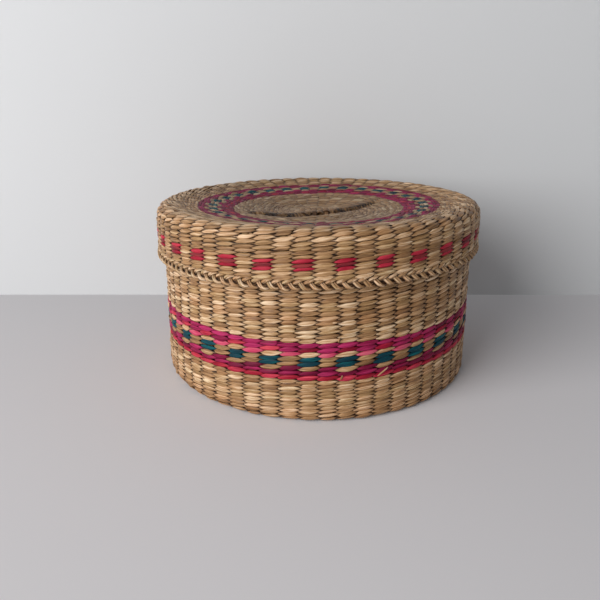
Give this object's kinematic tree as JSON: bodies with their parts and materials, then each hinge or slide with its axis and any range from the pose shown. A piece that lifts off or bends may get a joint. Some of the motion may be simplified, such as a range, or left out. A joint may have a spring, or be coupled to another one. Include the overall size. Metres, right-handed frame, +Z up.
{
  "type": "lidded basket",
  "caption": "Round twined straw basket with a lift-off dished lid, a coloured check band round the wall and check rings on the lid.",
  "frame": {"origin": "centre of the base's underside, on the surface that the basket stands on", "axes": "+Z up along the axis of the basket's base and wall, -Y towards the side that faces the viewer in the picture, +X to the viewer's right"},
  "size_m": [0.1794, 0.1794, 0.0968],
  "materials": {
    "natural_straw": "dry split grass, satin, straw to tan",
    "stake_straw": "dry grass stem, matt, darker tan",
    "magenta_straw": "dyed grass, satin magenta, uneven dye",
    "teal_straw": "dyed grass, satin dark teal",
    "red_straw": "dyed grass, satin pinkish red"
  },
  "bodies": {
    "basket_body": {"body_stakes": "stake_straw", "base_weaver_outside": "natural_straw", "base_weaver_inside": "natural_straw", "lower_wall_weaver_outside": "natural_straw", "lower_wall_weaver_inside": "natural_straw", "lower_magenta_weaver_outside": "magenta_straw", "lower_magenta_weaver_inside": "magenta_straw", "body_check_teal_weaver": "teal_straw", "body_check_straw_weaver": "natural_straw", "upper_magenta_weaver_outside": "magenta_straw", "upper_magenta_weaver_inside": "magenta_straw", "upper_wall_weaver_outside": "natural_straw", "upper_wall_weaver_inside": "natural_straw", "mouth_border": "natural_straw"},
    "lid": {"lid_stakes": "stake_straw", "lid_center_weaver_outside": "natural_straw", "lid_center_weaver_inside": "natural_straw", "lid_inner_ring_weaver_outside": "magenta_straw", "lid_inner_ring_weaver_inside": "magenta_straw", "lid_check_teal_weaver": "teal_straw", "lid_check_straw_weaver": "natural_straw", "lid_outer_ring_weaver_outside": "magenta_straw", "lid_outer_ring_weaver_inside": "magenta_straw", "lid_shoulder_weaver_outside": "natural_straw", "lid_shoulder_weaver_inside": "natural_straw", "skirt_check_red_weaver": "red_straw", "skirt_check_straw_weaver": "natural_straw", "lid_lower_skirt_weaver_outside": "natural_straw", "lid_lower_skirt_weaver_inside": "natural_straw", "lid_rim_braid": "natural_straw"}
  },
  "joints": [
    {"name": "lid_lift", "type": "slide", "parent": "basket_body", "child": "lid", "axis": [0, 0, 1], "range_m": [0, 0.08]}
  ]
}
